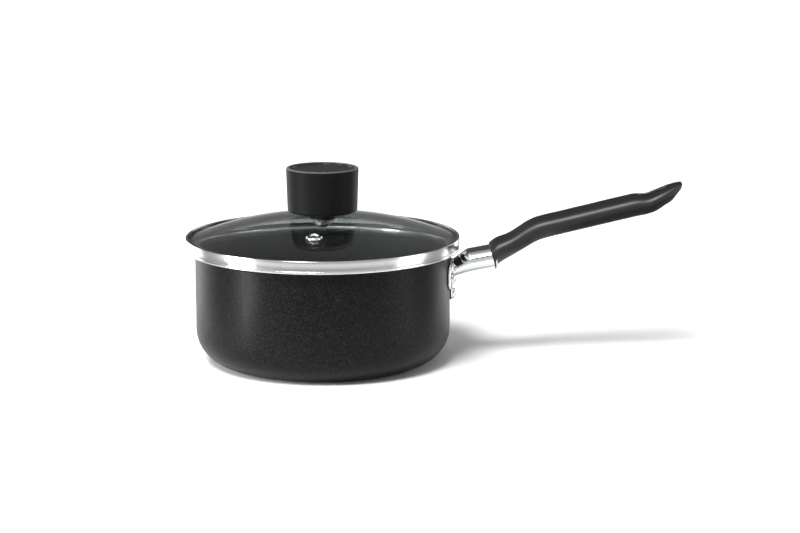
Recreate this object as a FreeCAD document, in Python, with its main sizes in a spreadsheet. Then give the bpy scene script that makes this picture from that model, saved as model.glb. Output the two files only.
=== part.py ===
"""Saucepan with a glass lid, as an assembly of the pieces it comes apart into.

Millimetres, +Z up. The origin is the centre of the pan's base on the surface that it stands on,
and the handle runs out along +X.
"""
import FreeCAD, Part
import math
import os
import re
import Sketcher

# ---------------------------------------------------------------------------------------------
# Driving sizes
# ---------------------------------------------------------------------------------------------
SIZES = {
    # pressed aluminium pan
    "pan_radius": 82.0,          # outside of the straight wall
    "pan_height": 75.0,          # top of the flared lip
    "wall": 2.0,
    "floor_thickness": 2.6,
    "base_corner": 22.0,         # outside radius between wall and base
    "lip_reach": 5.8,            # how far the lip stands out from the wall
    "lip_thickness": 1.9,
    "lip_bend": 2.5,             # inside radius of the bend under the lip
    "lip_edge": 0.8,             # rounding of the lip's cut edge
    "ring_groove_depth": 0.4,    # rings turned into the underside of the base
    "ring_groove_width": 1.6,
    "ring_groove_pitch": 9.0,
    # fits
    "nest_gap": 0.05,            # between pieces that are clamped or pressed together
    "seat_gap": 0.1,             # between the lid's band and the pan's lip
    "skirt_gap": 1.0,            # between the lid's skirt and the inside of the wall
    # lid: steel band, gasket and toughened glass
    "band_sheet": 0.5,
    "band_overhang": 0.2,        # how far the band stands out past the lip
    "band_curl": 1.7,            # how far the band's top edge turns in over the glass
    "band_bend": 1.1,            # outside radius of the band's two long bends
    "skirt_depth": 4.5,
    "gasket_wall": 0.6,
    "gasket_lip": 0.5,
    "gasket_show": 0.9,          # strip of gasket that shows inside the band's top edge
    "gasket_tuck": 5.0,          # how far the gasket reaches in under the glass
    "glass_thickness": 4.0,
    "glass_edge_flat": 2.5,
    "dome_rise": 15.0,
    # steam vent
    "vent_out": 54.0,            # from the lid's axis, measured flat
    "vent_bearing": -95.6,       # degrees from +X
    "vent_hole": 3.5,
    "vent_bore": 2.4,
    "eyelet_barrel": 2.9,
    "eyelet_flange": 4.95,
    "eyelet_rim": 1.35,
    "eyelet_roll": 4.0,
    "grommet_flange": 5.6,
    "grommet_sheet": 0.7,
    # knob
    "knob_bottom_radius": 22.4,
    "knob_top_radius": 23.3,
    "knob_height": 28.45,
    "knob_lift": 2.15,            # from the top of the glass to the knob's lower rim
    "knob_wall": 3.0,
    "knob_roof": 5.0,
    "knob_rim": 2.3,             # width of the raised ring round the cap
    "cap_recess": 1.9,
    "cap_thickness": 1.2,
    "cap_bead": 2.0,             # width of the cap's raised edge
    "boss_radius": 8.5,
    "insert_radius": 4.2,
    "insert_length": 14.0,
    "washer_radius": 7.0,
    "washer_thickness": 1.0,
    "pad_radius": 8.2,           # silicone washers each side of the glass
    "pad_thickness": 1.2,
    "glass_hole": 3.3,
    "knob_screw_radius": 2.5,
    "knob_screw_grip": 9.0,      # how far the screw reaches into the insert
    "knob_screw_head": 4.6,
    "knob_screw_head_height": 3.0,
    "recess_across": 1.0,        # width of a cross-recess slot
    "recess_length": 4.6,
    "recess_deep": 1.4,
    # handle bracket: flange on the wall and hollow neck
    "bracket_sheet": 1.6,
    "flange_top": 9.4,           # below the top of the lip
    "flange_shoulder": 25.5,
    "flange_waist": 28.5,
    "flange_bottom": 36.4,
    "flange_half_width": 20.0,
    "tongue_half_width": 6.6,
    "neck_half_width": 10.5,
    "neck_half_height": 7.5,
    "neck_side": 5.0,
    "neck_wall": 1.2,
    "neck_tilt": 10.3,           # degrees above level
    "root_drop": 16.0,           # middle of the neck's root, below the top of the lip
    "root_half_width": 8.4,
    "root_half_height": 5.4,
    "root_side": 3.4,
    "knee_back": 14.6,           # from the grip's mouth back to where the neck reaches full size
    # rivets
    "rivet_radius": 2.5,
    "rivet_head": 3.4,
    "rivet_head_height": 2.5,
    "rivet_foot": 4.6,
    "rivet_foot_height": 1.3,
    "rivet_gap": 0.03,
    "upper_rivet_out": 12.6,
    "upper_rivet_drop": 19.8,
    "lower_rivet_drop": 32.0,
    # grip
    "mouth_reach": 26.9,         # middle of the grip's mouth, out from the wall
    "mouth_drop": 7.5,           # and below the top of the lip
    "mouth_depth": 3.0,          # how far the neck goes into the grip
    "slot_out": 104.6,           # middle of the hanging slot, from the mouth
    "slot_up": 35.5,
    "slot_half_length": 8.5,
    "slot_half_width": 4.2,
    "slot_tilt": 14.0,
    "slot_edge": 0.8,            # rounding of the slot's rims
    # tang and its screw
    "plug_length": 8.0,
    "tang_half_width": 5.4,
    "tang_half_thickness": 1.6,
    "tang_tilt": 24.0,
    "tang_start": -2.0,          # from the neck's end, along the neck
    "tang_lift": 2.3,            # and across it
    "tang_length": 26.0,
    "tang_screw_out": 16.0,
    "grip_seat": 3.2,            # from the tang's middle to the seat of the screw's washer
    "lock_washer_thickness": 0.8,
    "lock_washer_radius": 3.6,
    "handle_screw_radius": 2.0,
    "handle_screw_head": 3.5,
    "handle_screw_head_height": 2.2,
}

# The grip's cross-sections: name, distance out and height from the middle of the mouth to the
# section's widest line, lean in degrees, rise and drop from that line, and half width.
GRIP_SECTIONS = [
    ("heel", 0.0, 0.7, 14.7, 7.8, 10.3, 12.4),
    ("collar", 2.4, 3.7, 14.0, 6.8, 9.0, 12.3),
    ("throat", 11.5, 8.3, 25.1, 6.2, 7.8, 11.8),
    ("slope", 21.5, 14.4, 27.7, 6.1, 7.8, 11.4),
    ("bend", 29.4, 18.4, 18.3, 6.6, 8.0, 11.6),
    ("palm_start", 43.2, 22.0, 14.3, 6.5, 8.0, 12.0),
    ("palm_end", 88.7, 32.9, 14.0, 6.4, 8.3, 12.2),
    ("dip_start", 94.0, 33.9, 14.3, 6.3, 8.2, 12.2),
    ("dip", 98.4, 34.3, 14.5, 5.8, 7.9, 12.2),
    ("dip_end", 102.8, 35.6, 15.2, 5.3, 7.8, 12.1),
    ("crest", 108.4, 38.4, 14.6, 4.9, 7.2, 11.6),
    ("blade", 113.1, 40.7, 12.5, 4.5, 6.5, 10.4),
    ("blade_end", 117.3, 43.2, 12.0, 3.5, 4.9, 8.5),
    ("tip_start", 120.5, 45.1, 10.5, 2.5, 3.1, 6.0),
    ("tip", 122.4, 46.7, 11.8, 1.1, 1.4, 3.2),
]
for name, out, up, lean, rise, drop, half_width in GRIP_SECTIONS:
    SIZES[f"{name}_out"] = out
    SIZES[f"{name}_up"] = up
    SIZES[f"{name}_lean"] = lean
    SIZES[f"{name}_rise"] = rise
    SIZES[f"{name}_drop"] = drop
    SIZES[f"{name}_half_width"] = half_width
SIZES["grip_side_share"] = 0.75      # roundness of the grip's side ridge, as a share of its rise
PALM_STEPS = 5                       # the straight palm is divided into this many equal steps
RING_GROOVES = 5

doc = FreeCAD.newDocument("Saucepan")
sheet = doc.addObject("Spreadsheet::Sheet", "Sizes")
for row, (alias, size) in enumerate(SIZES.items(), start=1):
    sheet.set(f"A{row}", alias.replace("_", " "))
    sheet.set(f"B{row}", str(size))
    sheet.setAlias(f"B{row}", alias)
doc.recompute()

# Places that several pieces share, as expressions of the driving sizes.
PAN_INSIDE = "(pan_radius - wall)"
LIP_RADIUS = "(pan_radius + lip_reach)"
BAND_RADIUS = f"({LIP_RADIUS} + band_overhang)"
BAND_BASE = "(pan_height + seat_gap)"
SKIRT_RADIUS = f"({PAN_INSIDE} - skirt_gap)"
GASKET_BASE = f"({BAND_BASE} + band_sheet)"
GASKET_RADIUS = f"({BAND_RADIUS} - band_sheet - nest_gap)"
GLASS_RADIUS = f"({GASKET_RADIUS} - gasket_wall - nest_gap)"
GLASS_BASE = f"({GASKET_BASE} + gasket_wall + nest_gap)"
GLASS_TOP = f"({GLASS_BASE} + glass_thickness)"
BAND_TOP = f"({GLASS_TOP} + 2 * nest_gap + gasket_lip + band_sheet)"
DOME_EDGE = f"({GLASS_RADIUS} - glass_edge_flat)"
DOME_RADIUS = f"(({DOME_EDGE} ^ 2 + dome_rise ^ 2) / (2 * dome_rise))"
APEX = f"({GLASS_TOP} + dome_rise)"
KNOB_BASE = f"({APEX} + knob_lift)"
KNOB_TOP = f"({KNOB_BASE} + knob_height)"
BOSS_BASE = f"({APEX} + pad_thickness)"
MOUTH_X = "(pan_radius + mouth_reach)"
MOUTH_Z = "(pan_height - mouth_drop)"
COS_NECK = "cos(neck_tilt * 1 deg)"
SIN_NECK = "sin(neck_tilt * 1 deg)"
COS_TANG = "cos(tang_tilt * 1 deg)"
SIN_TANG = "sin(tang_tilt * 1 deg)"
# The tang's root and its screw, out from the mouth's middle and up from it.
TANG_X = f"((mouth_depth + tang_start) * {COS_NECK} - tang_lift * {SIN_NECK})"
TANG_Z = f"((mouth_depth + tang_start) * {SIN_NECK} + tang_lift * {COS_NECK})"
SCREW_X = f"({TANG_X} + tang_screw_out * {COS_TANG})"
SCREW_Z = f"({TANG_Z} + tang_screw_out * {SIN_TANG})"


# ---------------------------------------------------------------------------------------------
# Helpers
# ---------------------------------------------------------------------------------------------
def sized(text):
    """Turn the names of sizes in an expression into references to the sheet's cells."""
    return re.sub(r"[a-z]\w+", lambda found: f"Sizes.{found[0]}" if found[0] in SIZES else found[0], text)


def value(text):
    """The number that an expression of the sizes gives."""
    number = sheet.evalExpression(sized(text))
    return float(getattr(number, "Value", number))


def new_body(name, x="0", y="0", z="0", axis=(0, 1, 0), turn="0"):
    """A body that stands at a place worked out from the sizes, turned about an axis."""
    body = doc.addObject("PartDesign::Body", name)
    body.Label = name
    spin = FreeCAD.Rotation(FreeCAD.Vector(*axis), value(turn) or 0.0)
    body.Placement = FreeCAD.Placement(FreeCAD.Vector(value(x), value(y), value(z)), spin)
    for part, text in (("Base.x", x), ("Base.y", y), ("Base.z", z), ("Rotation.Angle", turn)):
        if text != "0":
            body.setExpression(f"Placement.{part}", sized(text))
    return body


def new_sketch(body, name, plane="XZ_Plane", shift=("0", "0", "0"), axis=(1, 0, 0), turn="0"):
    """A sketch on one of the body's own origin planes, shifted and turned in that plane's axes."""
    sketch = body.newObject("Sketcher::SketchObject", f"{body.Name}_{name}")
    origin_plane = [item for item in body.Origin.OriginFeatures if item.Role == plane][0]
    sketch.AttachmentSupport = [(origin_plane, "")]
    sketch.MapMode = "FlatFace"
    spin = FreeCAD.Rotation(FreeCAD.Vector(*axis), value(turn))
    sketch.AttachmentOffset = FreeCAD.Placement(FreeCAD.Vector(*[value(text) for text in shift]), spin)
    for letter, text in zip("xyz", shift):
        if text != "0":
            sketch.setExpression(f"AttachmentOffset.Base.{letter}", sized(text))
    if turn != "0":
        sketch.setExpression("AttachmentOffset.Rotation.Angle", sized(turn))
    return sketch


def drive(sketch, kind, geometry, text):
    """Give a sketch constraint its value from the sizes."""
    index = sketch.addConstraint(Sketcher.Constraint(kind, *geometry, value(text)))
    sketch.setExpression(f"Constraints[{index}]", sized(text))


def place_point(sketch, geometry, end, x, y):
    """Hold a point of the sketch at (x, y); a zero puts it on the axis."""
    for kind, text, axis in (("DistanceX", x, -2), ("DistanceY", y, -1)):
        if text == "0":
            sketch.addConstraint(Sketcher.Constraint("PointOnObject", geometry, end, axis))
        else:
            drive(sketch, kind, (-1, 1, geometry, end), text)


def outline(sketch, corners):
    """Draw a closed outline of straight runs. A corner is (x, y) or, rounded, (x, y, radius)."""
    count = len(corners)
    places = [FreeCAD.Vector(value(corner[0]), value(corner[1]), 0) for corner in corners]
    radii = [value(corner[2]) if len(corner) > 2 else 0 for corner in corners]
    arrive, leave, middle, left_turn = [], [], [], []
    for index, place in enumerate(places):
        back = (places[index - 1] - place).normalize()
        ahead = (places[(index + 1) % count] - place).normalize()
        half = back.getAngle(ahead) / 2
        reach = radii[index] / math.tan(half)
        arrive.append(place + back * reach)
        leave.append(place + ahead * reach)
        middle.append(place + (back + ahead).normalize() * (radii[index] / math.sin(half)))
        left_turn.append(back.cross(ahead).z < 0)
    lines = []
    for index in range(count):
        run = Part.LineSegment(leave[index], arrive[(index + 1) % count])
        lines.append(sketch.addGeometry(run, False))
    for index, corner in enumerate(corners):
        before, after = lines[index - 1], lines[index]
        if not radii[index]:
            sketch.addConstraint(Sketcher.Constraint("Coincident", before, 2, after, 1))
            place_point(sketch, after, 1, corner[0], corner[1])
            continue
        first, last = (arrive, leave) if left_turn[index] else (leave, arrive)
        angles = [math.atan2(point.y - middle[index].y, point.x - middle[index].x)
                  for point in (first[index], last[index])]
        circle = Part.Circle(middle[index], FreeCAD.Vector(0, 0, 1), radii[index])
        bend = sketch.addGeometry(Part.ArcOfCircle(circle, *angles), False)
        near, far = (1, 2) if left_turn[index] else (2, 1)
        sketch.addConstraint(Sketcher.Constraint("Tangent", before, 2, bend, near))
        sketch.addConstraint(Sketcher.Constraint("Tangent", bend, far, after, 1))
        drive(sketch, "Radius", (bend,), corner[2])
        vertex = sketch.addGeometry(Part.Point(places[index]), True)
        sketch.addConstraint(Sketcher.Constraint("PointOnObject", vertex, 1, before))
        sketch.addConstraint(Sketcher.Constraint("PointOnObject", vertex, 1, after))
        place_point(sketch, vertex, 1, corner[0], corner[1])


def circle(sketch, radius, x="0", y="0"):
    """Draw a circle of a radius that the sizes give."""
    ring = Part.Circle(FreeCAD.Vector(value(x), value(y), 0), FreeCAD.Vector(0, 0, 1), value(radius))
    index = sketch.addGeometry(ring, False)
    drive(sketch, "Radius", (index,), radius)
    place_point(sketch, index, 3, x, y)


def oval(sketch, half_width, rise, drop, side):
    """Draw a closed oval: two wide arcs, above and below the sketch's x axis, and a rounded side."""
    reach = f"({half_width} - {side})"
    wide = [f"(({reach} ^ 2 - ({height} - {side}) ^ 2) / (2 * ({height} - {side})) + {height})"
            for height in (rise, drop)]
    x, r_side = value(reach), value(side)
    top_radius, low_radius = value(wide[0]), value(wide[1])
    top_y = value(rise) - top_radius
    low_y = low_radius - value(drop)
    normal = FreeCAD.Vector(0, 0, 1)
    lean_top = math.atan2(-top_y, x)
    lean_low = math.atan2(low_y, x)
    arcs = [
        (FreeCAD.Vector(0, top_y, 0), top_radius, lean_top, math.pi - lean_top),
        (FreeCAD.Vector(-x, 0, 0), r_side, math.pi - lean_top, math.pi + lean_low),
        (FreeCAD.Vector(0, low_y, 0), low_radius, math.pi + lean_low, 2 * math.pi - lean_low),
        (FreeCAD.Vector(x, 0, 0), r_side, -lean_low, lean_top),
    ]
    index = [sketch.addGeometry(Part.ArcOfCircle(Part.Circle(centre, normal, radius), start, end), False)
             for centre, radius, start, end in arcs]
    for arc, following in zip(index, index[1:] + index[:1]):
        sketch.addConstraint(Sketcher.Constraint("Tangent", arc, 2, following, 1))
    top, left, low, right = index
    sketch.addConstraint(Sketcher.Constraint("PointOnObject", top, 3, -2))
    sketch.addConstraint(Sketcher.Constraint("PointOnObject", left, 3, -1))
    sketch.addConstraint(Sketcher.Constraint("PointOnObject", right, 3, -1))
    sketch.addConstraint(Sketcher.Constraint("Equal", left, right))
    drive(sketch, "Radius", (right,), side)
    drive(sketch, "Radius", (top,), wide[0])
    drive(sketch, "Radius", (low,), wide[1])
    drive(sketch, "DistanceX", (-1, 1, right, 3), reach)


def revolve(body, sketch):
    """Turn a profile once round the body's own Z axis."""
    turned = body.newObject("PartDesign::Revolution", f"{body.Name}_turned")
    turned.Profile = sketch
    turned.ReferenceAxis = (sketch, ["V_Axis"])
    turned.Angle = 360
    return turned


def turned_body(name, corners, **where):
    """A body of revolution from one closed profile of (radius, height) corners."""
    body = new_body(name, **where)
    profile = new_sketch(body, "profile")
    outline(profile, corners)
    revolve(body, profile)
    return body


def pad(body, sketch, length, both_ways=False, backwards=False):
    """Extrude a sketch into material."""
    block = body.newObject("PartDesign::Pad", f"{sketch.Name}_pad")
    block.Profile = sketch
    block.SideType = "Symmetric" if both_ways else "One side"
    block.Reversed = backwards
    block.setExpression("Length", sized(length))
    return block


def cut(body, sketch, length, both_ways=False, forwards=False):
    """Cut a sketch out of the body, and make sure that it took material away."""
    doc.recompute()
    before = body.Shape.Volume
    pocket = body.newObject("PartDesign::Pocket", f"{sketch.Name}_cut")
    pocket.Profile = sketch
    pocket.SideType = "Symmetric" if both_ways else "One side"
    pocket.Reversed = forwards
    pocket.setExpression("Length", sized(length))
    doc.recompute()
    if not body.Shape.Volume < before:
        raise ValueError(f"{pocket.Name} cuts nothing")
    return pocket


def loft(body, kind, name, sections, ruled=False):
    """Join a row of sections, adding material or taking it away."""
    skin = body.newObject(f"PartDesign::{kind}", f"{body.Name}_{name}")
    skin.Profile = sections[0]
    skin.Sections = sections[1:]
    skin.Ruled = ruled
    return skin


def round_edges(body, name, radius, wanted):
    """Round those edges of the body for which wanted(edge) is true."""
    doc.recompute()
    tip = body.Tip
    edges = [f"Edge{number}" for number, edge in enumerate(tip.Shape.Edges, start=1) if wanted(edge)]
    if not edges:
        raise ValueError(f"{body.Name}_{name} has no edge to round")
    fillet = body.newObject("PartDesign::Fillet", f"{body.Name}_{name}")
    fillet.Base = (tip, edges)
    fillet.setExpression("Radius", sized(radius))
    return fillet


def radial_hole(body, name, bearing, height, radius):
    """Drill outwards from the pan's axis through whatever of the body lies that way."""
    sketch = new_sketch(body, name, "YZ_Plane", axis=(0, 1, 0), turn=bearing)
    circle(sketch, radius, "0", height)
    cut(body, sketch, f"{BAND_RADIUS} + bracket_sheet", forwards=True)


# ---------------------------------------------------------------------------------------------
# Pan: pressed aluminium, wall turned out into a lip, drilled for three rivets
# ---------------------------------------------------------------------------------------------
UPPER_BEARING = "(asin(upper_rivet_out / pan_radius) / 1 deg)"
RIVETS = [
    ("rivet_upper_front", f"(0 - {UPPER_BEARING})", "(pan_height - upper_rivet_drop)"),
    ("rivet_upper_rear", UPPER_BEARING, "(pan_height - upper_rivet_drop)"),
    ("rivet_lower", "0", "(pan_height - lower_rivet_drop)"),
]


def make_pan():
    under_lip = "(pan_height - lip_thickness)"
    pan = turned_body("pan_body", [
        ("0", "0"),
        ("pan_radius", "0", "base_corner"),
        ("pan_radius", under_lip, "lip_bend"),
        (LIP_RADIUS, under_lip, "lip_edge"),
        (LIP_RADIUS, "pan_height", "lip_edge"),
        (PAN_INSIDE, "pan_height", "lip_bend + lip_thickness"),
        (PAN_INSIDE, "floor_thickness", "base_corner - wall"),
        ("0", "floor_thickness"),
    ])
    rings = new_sketch(pan, "rings")
    for number in range(1, RING_GROOVES + 1):
        inner = f"({number} * ring_groove_pitch)"
        outer = f"({inner} + ring_groove_width)"
        outline(rings, [(inner, "0"), (outer, "0"), (f"{outer} - ring_groove_depth", "ring_groove_depth"),
                        (f"{inner} + ring_groove_depth", "ring_groove_depth")])
    groove = pan.newObject("PartDesign::Groove", "pan_body_grooves")
    groove.Profile = rings
    groove.ReferenceAxis = (rings, ["V_Axis"])
    groove.Angle = 360
    for name, bearing, height in RIVETS:
        radial_hole(pan, f"hole_{name}", bearing, height, "rivet_radius + rivet_gap")


# ---------------------------------------------------------------------------------------------
# Handle bracket: flange bent to the wall, with a hollow neck that rises to the grip
# ---------------------------------------------------------------------------------------------
def neck_section(body, name, from_mouth, inset="0"):
    """The neck's oval, at a distance along its axis from the grip's mouth."""
    shift = ("0", f"{MOUTH_Z} + ({from_mouth}) * {SIN_NECK}", f"{MOUTH_X} + ({from_mouth}) * {COS_NECK}")
    sketch = new_sketch(body, name, "YZ_Plane", shift, turn="0 - neck_tilt")
    oval(sketch, f"(neck_half_width - {inset})", f"(neck_half_height - {inset})",
         f"(neck_half_height - {inset})", f"(neck_side - {inset})")
    return sketch


def root_section(body, name, out, inset="0"):
    """The neck's root, an upright oval a little way out from the wall's surface."""
    shift = ("0", "pan_height - root_drop", f"pan_radius + {out}")
    sketch = new_sketch(body, name, "YZ_Plane", shift)
    oval(sketch, f"(root_half_width - {inset})", f"(root_half_height - {inset})",
         f"(root_half_height - {inset})", f"(root_side - {inset})")
    return sketch


def make_bracket():
    bracket = new_body("handle_bracket")
    ring = new_sketch(bracket, "ring")
    inner = "(pan_radius + nest_gap)"
    outer = f"({inner} + bracket_sheet)"
    top = "(pan_height - flange_top)"
    bottom = "(pan_height - flange_bottom)"
    outline(ring, [(inner, bottom), (outer, bottom), (outer, top), (inner, top)])
    plate = bracket.newObject("PartDesign::Revolution", "handle_bracket_plate")
    plate.Profile = ring
    plate.ReferenceAxis = (ring, ["V_Axis"])
    plate.Midplane = True
    plate.setExpression("Angle", sized(f"2 * asin((flange_half_width + wall) / {inner}) / 1 deg"))
    trim = new_sketch(bracket, "trim", "YZ_Plane")
    around = "(flange_half_width + 5 * wall)"
    outline(trim, [(f"0 - {around}", f"{bottom} - wall"), (around, f"{bottom} - wall"),
                   (around, f"{top} + wall"), (f"0 - {around}", f"{top} + wall")])
    shoulder = "(pan_height - flange_shoulder)"
    waist = "(pan_height - flange_waist)"
    right_side = [("flange_half_width", top, "4 * bracket_sheet"),
                  ("flange_half_width", shoulder, "3 * bracket_sheet"),
                  ("tongue_half_width", waist, "2 * bracket_sheet"),
                  ("tongue_half_width", bottom, "0.95 * tongue_half_width")]
    left_side = [(f"0 - {corner[0]}",) + corner[1:] for corner in reversed(right_side)]
    outline(trim, right_side + left_side)
    cut(bracket, trim, f"{LIP_RADIUS} + bracket_sheet", forwards=True)
    root = root_section(bracket, "root", "nest_gap + bracket_sheet / 4")
    knee = neck_section(bracket, "knee", "0 - knee_back")
    end = neck_section(bracket, "end", "mouth_depth")
    loft(bracket, "AdditiveLoft", "shoulder", [root, knee])
    loft(bracket, "AdditiveLoft", "neck", [knee, end])
    hollow_root = root_section(bracket, "hollow_root", "nest_gap + 2 * bracket_sheet", "neck_wall")
    hollow_knee = neck_section(bracket, "hollow_knee", "0 - knee_back", "neck_wall")
    hollow_end = neck_section(bracket, "hollow_end", "mouth_depth", "neck_wall")
    loft(bracket, "SubtractiveLoft", "hollow_shoulder", [hollow_root, hollow_knee])
    loft(bracket, "SubtractiveLoft", "hollow_neck", [hollow_knee, hollow_end])
    for name, bearing, height in RIVETS:
        radial_hole(bracket, f"hole_{name}", bearing, height, "rivet_radius + rivet_gap")


def make_rivets():
    """Three rivets: a domed head outside, a shank through both pieces and a flat foot inside."""
    head_base = "(2 * nest_gap + bracket_sheet)"
    head_top = f"({head_base} + rivet_head_height)"
    # the flat foot touches the hollow of the wall only at its rim
    foot_sink = f"({PAN_INSIDE} - sqrt({PAN_INSIDE} ^ 2 - rivet_foot ^ 2))"
    foot_top = f"(0 - wall - {foot_sink} - nest_gap)"
    foot_base = f"({foot_top} - rivet_foot_height)"
    for name, bearing, height in RIVETS:
        angle = math.radians(value(bearing))
        turned_body(name, [
            ("0", foot_base),
            ("rivet_foot", foot_base, "rivet_foot_height / 2"),
            ("rivet_foot", foot_top),
            ("rivet_radius", foot_top),
            ("rivet_radius", head_base),
            ("rivet_head", head_base),
            ("rivet_head", head_top, "0.9 * rivet_head_height"),
            ("0", head_top),
        ], x=f"pan_radius * cos({bearing} * 1 deg)", y=f"pan_radius * sin({bearing} * 1 deg)", z=height,
            axis=(-math.sin(angle), math.cos(angle), 0), turn="90")


# ---------------------------------------------------------------------------------------------
# Grip: moulded handle with a hanging slot, held to the tang by one screw from below
# ---------------------------------------------------------------------------------------------
def grip_section(grip, name, start, end="", share="0"):
    """One of the grip's cross-sections, or one a share of the way from a section to another."""
    size = {}
    for part in ("out", "up", "lean", "rise", "drop", "half_width"):
        size[part] = f"{start}_{part}"
        if end:
            size[part] = f"({start}_{part} + ({end}_{part} - {start}_{part}) * {share})"
    sketch = new_sketch(grip, name, "YZ_Plane", ("0", size["up"], size["out"]), turn=f"0 - {size['lean']}")
    oval(sketch, size["half_width"], size["rise"], size["drop"], f"(grip_side_share * {size['rise']})")
    return sketch


def make_grip():
    grip = new_body("handle_grip", x=MOUTH_X, z=MOUTH_Z)
    sections = []
    for name, *_ in GRIP_SECTIONS:
        sections.append(grip_section(grip, name, name))
        if name == "palm_start":
            sections += [grip_section(grip, f"palm_{step}", "palm_start", "palm_end", f"({step} / {PALM_STEPS})")
                         for step in range(1, PALM_STEPS)]
    loft(grip, "AdditiveLoft", "collar", sections[:2], ruled=True)
    loft(grip, "AdditiveLoft", "length", sections[1:])
    # the neck's end sits in a shallow recess in the mouth
    shift = ("0", f"(mouth_depth + nest_gap) * {SIN_NECK}", f"(mouth_depth + nest_gap) * {COS_NECK}")
    recess = new_sketch(grip, "recess", "YZ_Plane", shift, turn="0 - neck_tilt")
    oval(recess, "(neck_half_width + nest_gap)", "(neck_half_height + nest_gap)",
         "(neck_half_height + nest_gap)", "(neck_side + nest_gap)")
    cut(grip, recess, "3 * mouth_depth")
    # socket for the tang
    socket = new_sketch(grip, "socket", "XZ_Plane", (TANG_X, TANG_Z, "0"), axis=(0, 0, 1), turn="tang_tilt")
    tang_outline(socket, "nest_gap")
    cut(grip, socket, "2 * (tang_half_width + nest_gap)", both_ways=True)
    # screw hole from below, with a wide bore for its head
    for name, radius, start in (("screw_hole", "handle_screw_radius + 2 * nest_gap", "0"),
                                ("head_bore", "lock_washer_radius + 4 * nest_gap", "grip_seat")):
        shift = (f"{SCREW_X} + {start} * {SIN_TANG}", "0", f"{SCREW_Z} - {start} * {COS_TANG}")
        hole = new_sketch(grip, name, "XY_Plane", shift, axis=(0, 1, 0), turn="0 - tang_tilt")
        circle(hole, radius)
        cut(grip, hole, "4 * grip_seat")
    # hanging slot
    slot = new_sketch(grip, "slot", "XY_Plane", ("slot_out", "0", "slot_up"), axis=(0, 1, 0), turn="0 - slot_tilt")
    outline(slot, [(f"{x} slot_half_length", f"{y} slot_half_width", "0.9 * slot_half_width")
                   for x, y in (("0 -", "0 -"), ("", "0 -"), ("", ""), ("0 -", ""))])
    cut(grip, slot, "8 * slot_half_width", both_ways=True)
    reach, half_width = value("slot_half_length + slot_half_width"), value("slot_half_width + nest_gap")

    def on_slot_rim(edge):
        box = edge.BoundBox
        beside = max(abs(box.YMin), abs(box.YMax)) < half_width
        along = max(abs(box.XMin - value("slot_out")), abs(box.XMax - value("slot_out"))) < reach
        return beside and along and not isinstance(edge.Curve, Part.Line)

    round_edges(grip, "slot_rim", "slot_edge", on_slot_rim)


def tang_outline(sketch, gap):
    """Side view of the tang's bar, from inside the neck to its rounded end."""
    outline(sketch, [
        ("0 - tang_half_width", f"0 - tang_half_thickness - {gap}"),
        (f"tang_length + {gap}", f"0 - tang_half_thickness - {gap}", "tang_half_thickness / 2"),
        (f"tang_length + {gap}", f"tang_half_thickness + {gap}", "tang_half_thickness / 2"),
        ("0 - tang_half_width", f"tang_half_thickness + {gap}"),
    ])


def make_tang():
    """A plug welded into the neck's end and a bar that goes on into the grip."""
    tang = new_body("handle_tang", x=MOUTH_X, z=MOUTH_Z)
    shift = ("0", f"mouth_depth * {SIN_NECK}", f"mouth_depth * {COS_NECK}")
    plug = new_sketch(tang, "plug", "YZ_Plane", shift, turn="0 - neck_tilt")
    inset = "(neck_wall + 2 * nest_gap)"
    oval(plug, f"(neck_half_width - {inset})", f"(neck_half_height - {inset})",
         f"(neck_half_height - {inset})", f"(neck_side - {inset})")
    pad(tang, plug, "plug_length", backwards=True)
    bar = new_sketch(tang, "bar", "XZ_Plane", (TANG_X, TANG_Z, "0"), axis=(0, 0, 1), turn="tang_tilt")
    tang_outline(bar, "0")
    pad(tang, bar, "2 * tang_half_width", both_ways=True)
    hole = new_sketch(tang, "hole", "XY_Plane", (SCREW_X, "0", SCREW_Z), axis=(0, 1, 0), turn="0 - tang_tilt")
    circle(hole, "handle_screw_radius + nest_gap")
    cut(tang, hole, "6 * tang_half_thickness", both_ways=True)


def make_handle_screw():
    """The screw and its spring washer; their own +Z points down and out of the grip's underside."""
    where = dict(x=f"{MOUTH_X} + {SCREW_X}", z=f"{MOUTH_Z} + {SCREW_Z}", turn="180 - tang_tilt")
    head_seat = "(grip_seat + lock_washer_thickness)"
    head_top = f"({head_seat} + handle_screw_head_height)"
    screw = turned_body("handle_screw", [
        ("0", "0 - tang_half_thickness"),
        ("handle_screw_radius", "0 - tang_half_thickness", "handle_screw_radius / 4"),
        ("handle_screw_radius", head_seat),
        ("handle_screw_head", head_seat),
        ("handle_screw_head", head_top, "handle_screw_head_height / 2"),
        ("0", head_top),
    ], **where)
    cross_recess(screw, head_top, 1)
    turned_body("handle_lock_washer", [
        ("handle_screw_radius + nest_gap", "grip_seat"),
        ("lock_washer_radius", "grip_seat"),
        ("lock_washer_radius", "grip_seat + lock_washer_thickness - nest_gap"),
        ("handle_screw_radius + nest_gap", "grip_seat + lock_washer_thickness - nest_gap"),
    ], **where)


def cross_recess(screw, face, side):
    """Cut a cross recess into a screw's head, whose outer face is at the given height."""
    for name, across, along in (("slot_x", "recess_length", "recess_across"),
                                ("slot_y", "recess_across", "recess_length")):
        shift = ("0", "0", face)
        sketch = new_sketch(screw, name, "XY_Plane", shift)
        outline(sketch, [(f"0 - {across} / 2", f"0 - {along} / 2"), (f"{across} / 2", f"0 - {along} / 2"),
                         (f"{across} / 2", f"{along} / 2"), (f"0 - {across} / 2", f"{along} / 2")])
        cut(screw, sketch, "recess_deep", forwards=side < 0)


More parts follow.
